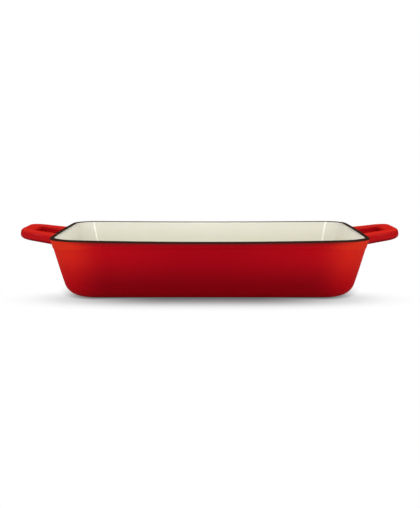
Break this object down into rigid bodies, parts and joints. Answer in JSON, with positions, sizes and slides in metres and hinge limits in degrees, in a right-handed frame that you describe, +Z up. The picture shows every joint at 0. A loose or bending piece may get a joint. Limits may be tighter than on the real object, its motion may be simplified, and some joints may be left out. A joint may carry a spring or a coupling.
{
  "type": "baking dish",
  "caption": "Rectangular enamelled cast-iron baking dish with rounded corners, leaning walls, a flared lip with a dark rim and a loop handle at each end.",
  "frame": {"origin": "middle of the underside, on the surface that the dish stands on", "axes": "+X from handle to handle, +Y across the dish, +Z up"},
  "size_m": [0.3976, 0.214, 0.0642],
  "materials": {
    "cast_iron": "as cast",
    "red_enamel": "gloss",
    "cream_enamel": "gloss",
    "rim_black_enamel": "matt",
    "base_black_enamel": "matt"
  },
  "bodies": {
    "root": {"iron_casting": "cast_iron", "outer_enamel": "red_enamel", "inner_enamel": "cream_enamel", "rim_enamel": "rim_black_enamel", "base_enamel": "base_black_enamel"}
  },
  "joints": []
}
